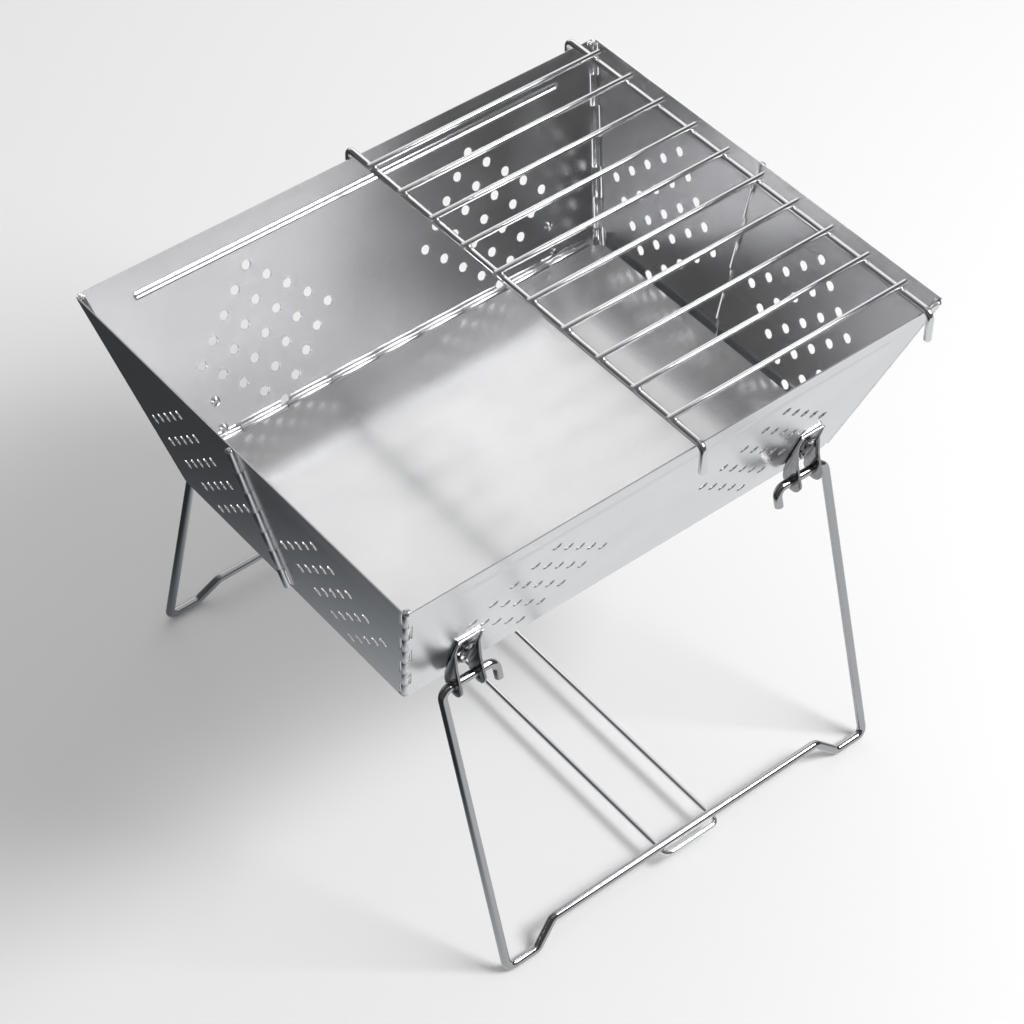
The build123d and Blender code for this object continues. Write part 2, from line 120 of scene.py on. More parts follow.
# Legs and spreader
PIVOT_DROP = 138.0
PIVOT_STAND_OFF = 11.0
LEG_RADIUS = 3.0
LEG_FOOT_Y = 187.0
LEG_INNER = 111.0
LEG_OUTER = 151.0
LEG_END_DROP = 13.0
FOOT_INNER = 127.0
LEG_BEND = 6.0
RAISED = 15.0
PIVOT_Y = HALF_WIDTH - PIVOT_DROP * WALL_SIN + PIVOT_STAND_OFF * WALL_COS
PIVOT_Z = RIM - PIVOT_DROP * WALL_COS - PIVOT_STAND_OFF * WALL_SIN
LEG_FALL = PIVOT_Z - LEG_RADIUS
LEG_SPREAD = LEG_FOOT_Y - PIVOT_Y
LEG = math.hypot(LEG_FALL, LEG_SPREAD)
LEG_SIN = LEG_SPREAD / LEG
LEG_COS = LEG_FALL / LEG
RUN_Y = PIVOT_Y + (LEG - RAISED) * LEG_SIN
RUN_Z = PIVOT_Z - (LEG - RAISED) * LEG_COS
EYE = 5.1
SPREADER_HALF = 21.5
SPREADER_RADIUS = 2.0
SPREADER_GAP = 0.4
SPREADER_REACH = 5.0
SPREADER_BEND = 5.0

# Grate. The bars are a little slimmer and lower than in the source, to stay in its box.
ROD_RADIUS = 2.5
ROD_GAP = 0.6
ROD_BEND = 5.0
HOOK_GAP = 2.5
HOOK_DROP = 21.0
RODS = {"grate_left_rod": 5.9, "grate_right_rod": 183.0}
BARS = 10
BAR_STEP = 31.5
BAR_ENDS = (1.4, 187.5)
BAR_WIRE = 2.0
BAR_RADIUS = 1.92
BAR_SINK = 0.27
ROD_Z = RIM + ROD_GAP + ROD_RADIUS
ROD_END = HALF_WIDTH + SHEET / 2 + HOOK_GAP + ROD_RADIUS

# Edges and turned profiles, as (distance along, radius)
SOFT_EDGE = 0.12
MITRE_LIMIT = 0.3
KNUCKLE_SOFT = 0.25
PIN_HEAD = ((-0.75, 0.6), (-0.7, 1.2), (-0.5, 1.75), (-0.2, 2.05), (0.1, 2.05), (0.2, PIN))
SCREW_HEAD = ((-1.8, 0.5), (-1.78, 1.5), (-1.6, 2.2), (-1.2, 2.7), (-0.6, 2.95), (-0.15, 3.0))
WELD = ((-1.7, 0.2), (-1.4, 0.55), (-0.8, 0.85), (0, 0.95), (0.8, 0.85), (1.4, 0.55), (1.7, 0.2))
WELD_OUT = 1.55
WELD_DROP = 1.85


# Places on the sheets
class Place:
    """A plane with its origin at the rim, x along the sheet, y up it and n out of it."""

    def __init__(self, origin, x, y):
        self.o = Vector(origin)
        self.x = Vector(x).normalized()
        self.y = Vector(y).normalized()
        self.n = self.x.cross(self.y)

    def at(self, x, y, n=0.0):
        return self.o + self.x * x + self.y * y + self.n * n

    def flat(self, point):
        d = Vector(point) - self.o
        return (d.dot(self.x), d.dot(self.y))

    def flat_way(self, way):
        return (way.dot(self.x), way.dot(self.y))

    def matrix(self, x, y):
        """Where a mesh made on this plane goes, in metres."""
        rotation = Matrix((self.x, self.y, self.n)).transposed().to_4x4()
        return Matrix.Translation(self.at(x, y) * MM) @ rotation


FRONT = Place((0, -HALF_WIDTH, RIM), (1, 0, 0), (0, -WALL_SIN, WALL_COS))
REAR = Place((0, HALF_WIDTH, RIM), (-1, 0, 0), (0, WALL_SIN, WALL_COS))
LEVEL = Place((0, 0, FLOOR_Z), (1, 0, 0), (0, 1, 0))
LEAF = Place((0, FLOOR_HINGE_Y, FLOOR_Z), (-1, 0, 0), (0, WALL_SIN, WALL_COS))


def end_place(side, depth_way):
    return Place((side * HALF_LENGTH, 0, RIM), (0, depth_way, 0), (side * END_SIN, 0, END_COS))


def hinge_line(side, depth_way):
    """Start, direction and length of a slanted hinge, as in the part's source."""
    if depth_way == 0:
        top = Vector((side * (HALF_LENGTH + AXIS_OFFSET / END_COS), 0, RIM))
    else:
        x = HALF_LENGTH - AXIS_OFFSET / END_COS
        y = HALF_WIDTH - AXIS_OFFSET / WALL_COS
        top = Vector((side * x, depth_way * y, RIM))
    way = Vector((-side * END_INSET, -depth_way * SIDE_INSET, -DEPTH))
    length = way.length
    way.normalize()
    return top + way * HINGE_END_GAP, way, length - 2 * HINGE_END_GAP


def spans(length, count, owner):
    """Start and end of every second knuckle of a hinge; owner 0 has the first one."""
    step = length / count
    return [(i * step, (i + 1) * step) for i in range(count) if i % 2 == owner]


# Outlines
def circle(cx, cy, radius, count=32):
    steps = [2 * math.pi * i / count for i in range(count)]
    return [(cx + radius * math.cos(t), cy + radius * math.sin(t)) for t in steps]


def arc(cx, cy, radius, start, end, count=8):
    steps = [math.radians(start + (end - start) * i / count) for i in range(count + 1)]
    return [(cx + radius * math.cos(t), cy + radius * math.sin(t)) for t in steps]


def drill(cx, cy, radius):
    """A circle of 24 points, for a cutter."""
    return arc(cx, cy, radius, 0, 345, 23)


def slot(half, radius, count=20):
    """A slot's outline round the middle line of the bead."""
    centre = half - BEAD_RADIUS
    steps = [math.pi * i / count for i in range(count + 1)]
    right = [(centre + radius * math.sin(t), radius * math.cos(t)) for t in steps]
    return right + [(-x, -y) for x, y in right]


def signed_area(points):
    """Positive where a closed polygon runs anticlockwise."""
    total = 0.0
    for (x0, y0), (x1, y1) in zip(points, points[1:] + points[:1]):
        total += x0 * y1 - x1 * y0
    return total / 2


def offset_loop(points, distance):
    """Move a closed polygon's sides to its left by distance, with mitred corners."""
    out = []
    count = len(points)
    for i in range(count):
        before, corner, after = (Vector(points[(i + k) % count]) for k in (-1, 0, 1))
        a = (corner - before).normalized()
        b = (after - corner).normalized()
        left = Vector((-a.y, a.x))
        mitre = left + Vector((-b.y, b.x))
        if mitre.length < 1e-6:
            out.append(tuple(corner + left * distance))
            continue
        mitre.normalize()
        out.append(tuple(corner + mitre * (distance / max(mitre.dot(left), MITRE_LIMIT))))
    return out


def lattice(x, y):
    """The air holes of one lattice, a square of five by five that stands on its corner."""
    middle = HOLES_PER_SIDE // 2
    out = []
    for i in range(HOLES_PER_SIDE):
        for k in range(HOLES_PER_SIDE):
            u = (i - middle) * HOLE_STEP
            v = (k - middle) * HOLE_STEP
            out.append(circle(x + u + v, y + u - v, HOLE_RADIUS))
    return out


def fillet_path(points, radius, step=7.5):
    """Round the corners of a path of points, with a point every step degrees."""
    points = [Vector(p) for p in points]
    out = [points[0]]
    for before, corner, after in zip(points, points[1:], points[2:]):
        a = (before - corner).normalized()
        b = (after - corner).normalized()
        turn = math.pi - a.angle(b)
        reach = radius * math.tan(turn / 2)
        centre = corner + (a + b).normalized() * (radius / math.cos(turn / 2))
        start = corner + a * reach - centre
        end = corner + b * reach - centre
        count = max(2, int(math.degrees(turn) / step))
        for i in range(count + 1):
            t = i / count
            blend = start * math.sin((1 - t) * turn) + end * math.sin(t * turn)
            out.append(centre + blend / math.sin(turn))
    out.append(points[-1])
    return out


# Meshes
def add_loop_strip(bm, loops):
    """Quads between successive closed loops of vertices."""
    for a, b in zip(loops, loops[1:]):
        for i in range(len(a)):
            j = (i + 1) % len(a)
            bm.faces.new((a[i], a[j], b[j], b[i]))


def add_sheet(bm, place, outline, holes, low, high):
    """A flat sheet from low to high along the normal, with soft edges round it and its holes."""
    loops = [list(outline)] + [list(hole) for hole in holes]
    for i, loop in enumerate(loops):
        if (i == 0) != (signed_area(loop) > 0):
            loop.reverse()
    inner = [offset_loop(loop, SOFT_EDGE) for loop in loops]
    levels = ((low, inner), (low + SOFT_EDGE, loops), (high - SOFT_EDGE, loops), (high, inner))
    rings = [
        [[bm.verts.new(place.at(x, y, n) * MM) for x, y in loop] for loop in source]
        for n, source in levels
    ]
    for side in zip(*rings):
        add_loop_strip(bm, side)
    triangles = tessellate_polygon([[Vector((x, y, 0)) for x, y in loop] for loop in inner])
    for level in (0, -1):
        flat = [v for loop in rings[level] for v in loop]
        for a, b, c in triangles:
            corners = (flat[c], flat[b], flat[a]) if level == 0 else (flat[a], flat[b], flat[c])
            # A repeated or empty triangle is refused and left out
            try:
                bm.faces.new(corners)
            except ValueError:
                pass


def frame_across(way):
    """Two unit vectors square to a line and to each other."""
    side = ALONG_Z if abs(way.z) < 0.9 else ALONG_X
    u = way.cross(side).normalized()
    return u, way.cross(u).normalized()


def add_turned(bm, origin, way, profile, count=32, closed=False):
    """Revolve (distance along, radius) pairs about a line. A closed profile makes a ring."""
    u, v = frame_across(way)
    loops = []
    for along, radius in profile:
        ring = []
        for i in range(count):
            t = 2 * math.pi * i / count
            out = u * math.cos(t) + v * math.sin(t)
            ring.append(bm.verts.new((origin + way * along + out * radius) * MM))
        loops.append(ring)
    add_loop_strip(bm, loops + [loops[0]] if closed else loops)
    if not closed:
        bm.faces.new(loops[0])
        bm.faces.new(loops[-1])


def add_knuckles(bm, start, way, pieces):
    """Rolled barrels with softened ends round a bore."""
    soft = KNUCKLE_SOFT
    for a, b in pieces:
        a += KNUCKLE_GAP / 2
        b -= KNUCKLE_GAP / 2
        profile = [
            (a, BORE), (a, BARREL - soft),
            (a + soft * 0.3, BARREL - soft * 0.3), (a + soft, BARREL),
            (b - soft, BARREL), (b - soft * 0.3, BARREL - soft * 0.3),
            (b, BARREL - soft), (b, BORE),
        ]
        add_turned(bm, start, way, profile, 40, closed=True)


def add_pin(bm, start, way, length):
    """A hinge pin with low peened heads."""
    far_head = [(length - along, radius) for along, radius in reversed(PIN_HEAD)]
    add_turned(bm, start, way, [*PIN_HEAD, *far_head])


def add_bead(bm, place):
    """The pressed bead: a rounded ridge outside and the matching groove inside."""
    steps = 8
    for n in (SHEET / 2, -SHEET / 2):
        loops = []
        for i in range(steps + 1):
            share = i / steps
            radius = BEAD_RADIUS * (1 - share * 0.97)
            height = BEAD_HEIGHT * (0.5 - 0.5 * math.cos(math.pi * share))
            loops.append([bm.verts.new(place.at(x, y - BEAD_DROP, n + height) * MM)
                          for x, y in slot(BEAD_HALF, radius)])
        add_loop_strip(bm, loops)
        bm.faces.new(loops[-1])


def add_wire(bm, path, radius, count=24):
    """A round wire with softened ends along a smooth path."""
    last = len(path) - 1
    tangents = [(path[min(i + 1, last)] - path[max(i - 1, 0)]).normalized()
                for i in range(len(path))]
    u, v = frame_across(tangents[0])
    soft = radius * 0.25
    loops = []

    def ring(centre, r):
        steps = [2 * math.pi * k / count for k in range(count)]
        loops.append([bm.verts.new((centre + (u * math.cos(t) + v * math.sin(t)) * r) * MM)
                      for t in steps])

    for i, (p, way) in enumerate(zip(path, tangents)):
        u = (u - way * u.dot(way)).normalized()
        v = way.cross(u)
        if i == 0:
            ring(p, radius - soft)
            ring(p + way * soft * 0.3, radius - soft * 0.3)
            ring(p + way * soft, radius)
        elif i == last:
            ring(p - way * soft, radius)
            ring(p - way * soft * 0.3, radius - soft * 0.3)
            ring(p, radius - soft)
        else:
            ring(p, radius)
    add_loop_strip(bm, loops)
    bm.faces.new(loops[0])
    bm.faces.new(loops[-1])


def add_ring(bm, centre, way, major, minor, count=48, around=20):
    """A closed round ring about a line."""
    u, v = frame_across(way)
    loops = []
    for i in range(count):
        t = 2 * math.pi * i / count
        out = u * math.cos(t) + v * math.sin(t)
        loop = []
        for k in range(around):
            s = 2 * math.pi * k / around
            point = centre + out * (major + minor * math.cos(s)) + way * minor * math.sin(s)
            loop.append(bm.verts.new(point * MM))
        loops.append(loop)
    add_loop_strip(bm, loops + [loops[0]])


def loose_object(bm, name):
    """Close a mesh into an object in the scene."""
    bmesh.ops.recalc_face_normals(bm, faces=bm.faces[:])
    mesh = bpy.data.meshes.new(name)
    bm.to_mesh(mesh)
    bm.free()
    piece = bpy.data.objects.new(name, mesh)
    bpy.context.scene.collection.objects.link(piece)
    return piece


def finish_piece(bm, name, body, material, node, angle=32.0):
    """Close a mesh into an object that rides on a body and stands for its node."""
    piece = loose_object(bm, name)
    for polygon in piece.data.polygons:
        polygon.use_smooth = True
    piece.data.set_sharp_from_angle(angle=math.radians(angle))
    piece.data.materials.append(material)
    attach(piece, body)
    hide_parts(node)


def evaluated_mesh(piece):
    """A piece's mesh with its modifiers applied."""
    graph = bpy.context.evaluated_depsgraph_get()
    return bpy.data.meshes.new_from_object(piece.evaluated_get(graph))


def boolean(target, cutter, operation):
    modifier = target.modifiers.new("cut", "BOOLEAN")
    modifier.operation = operation
    modifier.solver = "EXACT"
    modifier.object = cutter
    mesh = evaluated_mesh(target)
    target.modifiers.clear()
    target.data = mesh
    bpy.data.objects.remove(cutter)


def prism(name, points, low, high, axis):
    """A solid from low to high along axis 0, 1 or 2; its points are on the other two in order."""
    bm = bmesh.new()
    rings = []
    for level in (low, high):
        ring = []
        for p, q in points:
            corner = [p, q]
            corner.insert(axis, level)
            ring.append(bm.verts.new(Vector(corner) * MM))
        rings.append(ring)
    add_loop_strip(bm, rings)
    bm.faces.new(rings[0])
    bm.faces.new(rings[1])
    return loose_object(bm, name)


def placed_copy(bm, mesh, matrix):
    """Add a mesh to bm at a place."""
    start = len(bm.verts)
    bm.from_mesh(mesh)
    bm.verts.ensure_lookup_table()
    for vertex in bm.verts[start:]:
        vertex.co = matrix @ vertex.co


# Materials
def node_at(tree, kind, inputs=None, **values):
    """A new shader node, with its properties and the values of its inputs."""
    node = tree.nodes.new(kind)
    for key, value in values.items():
        setattr(node, key, value)
    for key, value in (inputs or {}).items():
        node.inputs[key].default_value = value
    return node


def map_range(tree, value, start, end, low, high, **values):
    """Map a value from start to end onto low to high; returns the result's socket."""
    node = node_at(tree, "ShaderNodeMapRange", {
        "From Min": start, "From Max": end, "To Min": low, "To Max": high,
    }, **values)
    tree.links.new(value, node.inputs["Value"])
    return node.outputs["Result"]


def along_way(tree, coords, way):
    """How far a place lies along a direction; returns the value's socket."""
    node = node_at(tree, "ShaderNodeVectorMath", {1: way}, operation="DOT_PRODUCT")
    tree.links.new(coords, node.inputs[0])
    return node.outputs["Value"]


def mix_shaders(tree, factor, first, second):
    node = node_at(tree, "ShaderNodeMixShader")
    for socket, source in zip(node.inputs, (factor, first, second)):
        tree.links.new(source, socket)
    return node.outputs[0]


def steel(name, colour, rough, grain, grain_depth=0.012, smudge=0.5):
    """Stainless steel: a drawn grain that runs along one way, and soft clouding."""
    material = bpy.data.materials.new(name)
    material.use_nodes = True
    tree = material.node_tree
    link = tree.links.new
    shader = tree.nodes["Principled BSDF"]
    shader.inputs["Metallic"].default_value = 1.0
    coords = node_at(tree, "ShaderNodeTexCoord").outputs["Object"]
    stretch = node_at(tree, "ShaderNodeMapping", {"Scale": grain})
    link(coords, stretch.inputs["Vector"])
    lines = node_at(tree, "ShaderNodeTexNoise", {"Scale": 1.0, "Detail": 6.0, "Roughness": 0.65})
    link(stretch.outputs["Vector"], lines.inputs["Vector"])
    clouds = node_at(tree, "ShaderNodeTexNoise", {"Scale": 14.0, "Detail": 4.0, "Distortion": 0.6})
    link(coords, clouds.inputs["Vector"])
    mix = node_at(tree, "ShaderNodeMath", {1: smudge}, operation="MULTIPLY_ADD")
    link(clouds.outputs["Fac"], mix.inputs[0])
    link(lines.outputs["Fac"], mix.inputs[2])
    link(map_range(tree, mix.outputs[0], 0.35, 0.65 + smudge, *rough), shader.inputs["Roughness"])
    tint = node_at(tree, "ShaderNodeValToRGB")
    dark, light = tint.color_ramp.elements
    dark.position = 0.3
    dark.color = (colour[0] * 0.9, colour[1] * 0.9, colour[2] * 0.91, 1)
    light.position = 0.72
    light.color = (*colour, 1)
    link(clouds.outputs["Fac"], tint.inputs["Fac"])
    link(tint.outputs["Color"], shader.inputs["Base Color"])
    bump = node_at(tree, "ShaderNodeBump", {"Strength": 0.12, "Distance": grain_depth * MM})
    link(lines.outputs["Fac"], bump.inputs["Height"])
    link(bump.outputs["Normal"], shader.inputs["Normal"])
    return material


SATIN = (0.78, 0.78, 0.785)
LONG_GRAIN = (12, 900, 900)
END_GRAIN = (900, 12, 900)
WIRE_GRAIN = (60, 60, 60)
TURNED_GRAIN = (300, 300, 30)
SCREW_GRAIN = (200, 200, 200)
WALL_STEEL = steel("sheet_steel_long", SATIN, (0.16, 0.26), LONG_GRAIN)
END_STEEL = steel("sheet_steel_end", SATIN, (0.16, 0.26), END_GRAIN)
FLOOR_STEEL = steel("floor_steel", (0.76, 0.76, 0.765), (0.13, 0.22), LONG_GRAIN)
WIRE_STEEL = steel("bright_wire", SATIN, (0.08, 0.2), WIRE_GRAIN, 0.006, 0.4)
# Painted reflection: the leg wire's base colour is darkened to stand for dark surroundings
# mirrored in polished wire
DARKENED_LEG_STEEL = steel("leg_wire", (0.46, 0.46, 0.465), (0.05, 0.14), WIRE_GRAIN, 0.006, 0.4)
# Painted reflection: the brackets' base colour is darkened to stand for dark surroundings mirrored
# in polished steel
DARKENED_BRACKET_STEEL = steel("bracket_steel", (0.3, 0.3, 0.305), (0.06, 0.15), TURNED_GRAIN, 0.01)
PIN_STEEL = steel("pin_steel", (0.6, 0.6, 0.605), (0.18, 0.34), TURNED_GRAIN, 0.008)
SCREW_STEEL = steel("screw_steel", (0.72, 0.72, 0.725), (0.1, 0.24), SCREW_GRAIN, 0.006, 0.4)


# Firebox sheets
def notched_edge(place, side, depth_way, cut_owner, notch, into):
    """The edge of a sheet along a hinge, from the rim down, cut back at the partner's knuckles."""
    start, way, length = hinge_line(side, depth_way)
    x0, y0 = place.flat(start)
    wx, wy = place.flat_way(way)
    scale = math.hypot(wx, wy)
    wx, wy = wx / scale, wy / scale
    nx, ny = wy, -wx
    if nx * into < 0:
        nx, ny = -nx, -ny

    def edge(t, inset=0.0):
        return (x0 + wx * t + nx * inset, y0 + wy * t + ny * inset)

    slope = WALL_SLOPE if place in (FRONT, REAR) else END_SLOPE
    points = [edge(-y0 / wy)]
    for a, b in spans(length, KNUCKLES, cut_owner) if cut_owner is not None else []:
        a -= KNUCKLE_GAP / 2
        b += KNUCKLE_GAP / 2
        points += [edge(a), edge(a, notch), edge(b, notch), edge(b)]
    points.append(edge((-slope - y0) / wy))
    return points


def wall_sheet(name, place, hinged_sides):
    """A front or rear wall with bead, air holes, screw holes and its knuckles."""
    bm = bmesh.new()
    depth_way = -1 if place is FRONT else 1
    local_right = 1 if place is FRONT else -1
    edges = {}
    for side in (-1, 1):
        way = side * local_right
        if side in hinged_sides:
            edges[way] = notched_edge(place, side, depth_way, 1, NOTCH, -way)
        else:
            points = notched_edge(place, side, depth_way, None, 0, -way)
            edges[way] = [(x + OPEN_NOTCH * -way, y) for x, y in points]
    holes = lattice(*WALL_ARRAY) + lattice(-WALL_ARRAY[0], WALL_ARRAY[1])
    holes += [circle(s * SCREW_X, -drop, SCREW_HOLE, 20) for s in (-1, 1) for drop in SCREW_DROPS]
    holes.append([(x, y - BEAD_DROP) for x, y in slot(BEAD_HALF, BEAD_RADIUS)])
    add_sheet(bm, place, edges[1] + edges[-1][::-1], holes, -SHEET / 2, SHEET / 2)
    add_bead(bm, place)
    for side in hinged_sides:
        start, way, length = hinge_line(side, depth_way)
        add_knuckles(bm, start, way, spans(length, KNUCKLES, 0))
    finish_piece(bm, name + "_sheet", name, WALL_STEEL, name)


def end_sheet(name, side, depth_way, whole):
    """Half an end wall. Whole means that it has all the knuckles of its corner."""
    bm = bmesh.new()
    place = end_place(side, depth_way)
    own = 0 if depth_way > 0 else 1
    middle = notched_edge(place, side, 0, 1 - own, NOTCH, 1)
    corner = notched_edge(place, side, depth_way, None if whole else 0, NOTCH, -1)
    add_sheet(bm, place, corner + middle[::-1], lattice(*END_ARRAY), -SHEET / 2, SHEET / 2)
    start, way, length = hinge_line(side, 0)
    add_knuckles(bm, start, way, spans(length, KNUCKLES, own))
    start, way, length = hinge_line(side, depth_way)
    for owner in (1, 0) if whole else (1,):
        add_knuckles(bm, start, way, spans(length, KNUCKLES, owner))
    finish_piece(bm, name + "_sheet", name, END_STEEL, name)


wall_sheet("rear_wall", REAR, (-1, 1))
wall_sheet("front_wall", FRONT, (-1,))
end_sheet("left_rear_panel", -1, 1, False)
end_sheet("left_front_panel", -1, -1, False)
end_sheet("right_rear_panel", 1, 1, False)
end_sheet("right_front_panel", 1, -1, True)

for pin_name, pin_side, pin_way, pin_body in (
    ("left_rear_pin", -1, 1, "rear_wall"),
    ("right_rear_pin", 1, 1, "rear_wall"),
    ("left_middle_pin", -1, 0, "left_rear_panel"),
    ("right_middle_pin", 1, 0, "right_rear_panel"),
    ("left_front_pin", -1, -1, "left_front_panel"),
    ("right_front_pin", 1, -1, "right_front_panel"),
):
    pin_mesh = bmesh.new()
    add_pin(pin_mesh, *hinge_line(pin_side, pin_way))
    finish_piece(pin_mesh, pin_name + "_rod", pin_body, PIN_STEEL, pin_name)


# Floor
FLOOR_AXIS_START = Vector((-FLOOR_HINGE_HALF, FLOOR_HINGE_Y, FLOOR_Z))


def floor_spans(owner):
    return spans(2 * FLOOR_HINGE_HALF, FLOOR_KNUCKLES, owner)


def floor_plate():
    """The plate, with its rear edge cut back at the leaf's knuckles."""
    bm = bmesh.new()
    lip = FLOOR_HINGE_Y - BORE
    back = FLOOR_HINGE_Y - BARREL - KNUCKLE_GAP
    rear = [(-FLOOR_HINGE_HALF, lip)]
    for a, b in floor_spans(1):
        a = a - FLOOR_HINGE_HALF - KNUCKLE_GAP / 2
        b = b - FLOOR_HINGE_HALF + KNUCKLE_GAP / 2
        rear += [(a, lip), (a, back), (b, back), (b, lip)]
    rear.append((FLOOR_HINGE_HALF, lip))
    right = [
        (FLOOR_HALF, FLOOR_HINGE_Y - FLOOR_CUT),
        (FLOOR_HALF, FLOOR_FRONT + FLOOR_CUT),
        (FLOOR_HALF - FLOOR_CUT, FLOOR_FRONT),
    ]
    left = [(-x, y) for x, y in reversed(right)]
    add_sheet(bm, LEVEL, rear + right + left, [], -FLOOR_SHEET / 2, FLOOR_SHEET / 2)
    add_knuckles(bm, FLOOR_AXIS_START, ALONG_X, floor_spans(0))
    finish_piece(bm, "floor_plate_sheet", "floor_plate", FLOOR_STEEL, "floor_plate")


def floor_leaf():
    """The leaf on the rear wall, a strip with a tab to each of its knuckles."""
    bm = bmesh.new()
    inside = BARREL - LEAF_SHEET
    for a, b in floor_spans(1):
        a = a - FLOOR_HINGE_HALF + KNUCKLE_GAP / 2
        b = b - FLOOR_HINGE_HALF - KNUCKLE_GAP / 2
        tab = [(-a, 0), (-b, 0), (-b, -LEAF_TAB), (-a, -LEAF_TAB)]
        add_sheet(bm, LEAF, tab, [], inside, BARREL)
    strip = [
        (-FLOOR_HINGE_HALF, -LEAF_TOP), (FLOOR_HINGE_HALF, -LEAF_TOP),
        (FLOOR_HINGE_HALF, -LEAF_HEIGHT), (-FLOOR_HINGE_HALF, -LEAF_HEIGHT),
    ]
    add_sheet(bm, LEAF, strip, [], inside, BARREL)
    add_knuckles(bm, FLOOR_AXIS_START, ALONG_X, floor_spans(1))
    finish_piece(bm, "floor_leaf_sheet", "floor_hinge", WALL_STEEL, "floor_hinge_leaf")


def floor_pin():
    bm = bmesh.new()
    add_pin(bm, FLOOR_AXIS_START, ALONG_X, 2 * FLOOR_HINGE_HALF)
    finish_piece(bm, "floor_hinge_rod", "floor_hinge", PIN_STEEL, "floor_hinge_pin")


floor_plate()
floor_leaf()
floor_pin()


# Brackets and screws
def bracket_mesh():
    """One bracket in its wall's own plane: x across, y up the wall, z out of it."""
    reach = PIVOT_STAND_OFF + EAR + 1
    bend_x = BRACKET_HALF - BEND_OUTER
    bend_z = BRACKET_BASE + BEND_OUTER
    channel = [(-BRACKET_HALF, reach)]
    channel += arc(-bend_x, bend_z, BEND_OUTER, 180, 270)
    channel += arc(bend_x, bend_z, BEND_OUTER, 270, 360)
    channel += [(BRACKET_HALF, reach), (BRACKET_HALF - BRACKET_SHEET, reach)]
    channel += arc(bend_x, bend_z, BEND_INNER, 360, 270)
    channel += arc(-bend_x, bend_z, BEND_INNER, 270, 180)
    channel.append((-BRACKET_HALF + BRACKET_SHEET, reach))
    body = prism("bracket_blank", channel, -PIVOT_DROP - EAR, -BRACKET_TOP, 1)
    # The side's outline, as (place up the wall, distance out of it), round the ear
    side = [
        (-BRACKET_TOP, BRACKET_BASE - 1),
        (-BRACKET_TOP, BRACKET_BASE + BRACKET_SHEET + 0.6),
        (-110.0, BRACKET_BASE + BRACKET_SHEET + 1.4),
        (-122.0, 9.0),
        *arc(-PIVOT_DROP, PIVOT_STAND_OFF, EAR, 40, 262, 24),
        (-134.5, BRACKET_BASE + 0.2),
        (-134.0, BRACKET_BASE - 1),
    ]
    boolean(body, prism("bracket_side", side, -20, 20, 0), "INTERSECT")
    pivot = drill(-PIVOT_DROP, PIVOT_STAND_OFF, EAR_BORE)
    boolean(body, prism("bracket_hole", pivot, -20, 20, 0), "DIFFERENCE")
    for drop in SCREW_DROPS:
        boolean(body, prism("bracket_drill", drill(0, -drop, SCREW_HOLE), -5, 8, 2), "DIFFERENCE")
    bevel = body.modifiers.new("soften", "BEVEL")
    bevel.width = 0.22 * MM
    bevel.segments = 2
    bevel.limit_method = "ANGLE"
    bevel.angle_limit = math.radians(40)
    mesh = evaluated_mesh(body)
    bpy.data.objects.remove(body)
    return mesh


def screw_mesh():
    """A pan head with a cross recess; z points out of the wall, the head is inside."""
    seat = -SHEET / 2 - SEAT_GAP
    end = seat + SHEET + BRACKET_SHEET + 2 * SEAT_GAP + NUT_HEIGHT + SCREW_END
    thread = []
    z = seat
    while z < end - 0.7:
        thread += [(z, SCREW_RADIUS), (z + 0.25, 1.32)]
        z += 0.5
    profile = [
        *[(seat + along, radius) for along, radius in SCREW_HEAD],
        (seat, 2.9), *thread, (end - 0.35, SCREW_RADIUS), (end, 1.15),
    ]
    bm = bmesh.new()
    add_turned(bm, Vector((0, 0, 0)), ALONG_Z, profile)
    screw = loose_object(bm, "screw_blank")
    arm = [(-1.55, -0.28), (1.55, -0.28), (1.55, 0.28), (-1.55, 0.28)]
    for turn in (20, 110):
        cutter = prism("screw_slot", arm, seat - 3, seat - 0.9, 2)
        cutter.data.transform(Matrix.Rotation(math.radians(turn), 4, "Z"))
        boolean(screw, cutter, "DIFFERENCE")
    mesh = screw.data.copy()
    bpy.data.objects.remove(screw)
    return mesh


def nut_mesh():
    """A hexagon nut with turned corners and a bore for the screw."""
    low = SHEET / 2 + BRACKET_SHEET + 2 * SEAT_GAP
    high = low + NUT_HEIGHT
    corners = [math.radians(a) for a in range(0, 360, 60)]
    hexagon = [(NUT_RADIUS * math.cos(t), NUT_RADIUS * math.sin(t)) for t in corners]
    nut = prism("nut_blank", hexagon, low, high, 2)
    bm = bmesh.new()
    profile = [(low - 0.01, 2.65), (low + 0.25, 3.05), (high - 0.25, 3.05), (high + 0.01, 2.65)]
    add_turned(bm, Vector((0, 0, 0)), ALONG_Z, profile, 48)
    boolean(nut, loose_object(bm, "nut_round"), "INTERSECT")
    boolean(nut, prism("nut_drill", drill(0, 0, BORE), low - 1, high + 1, 2), "DIFFERENCE")
    mesh = nut.data.copy()
    bpy.data.objects.remove(nut)
    return mesh


BRACKET = bracket_mesh()
for bracket_name, bracket_place, bracket_x, bracket_body in (
    ("front_left_bracket", FRONT, -SCREW_X, "front_wall"),
    ("front_right_bracket", FRONT, SCREW_X, "front_wall"),
    ("rear_left_bracket", REAR, SCREW_X, "rear_wall"),
    ("rear_right_bracket", REAR, -SCREW_X, "rear_wall"),
):
    bracket_bm = bmesh.new()
    placed_copy(bracket_bm, BRACKET, bracket_place.matrix(bracket_x, 0))
    finish_piece(bracket_bm, bracket_name + "_channel", bracket_body, DARKENED_BRACKET_STEEL,
                 bracket_name, 40)

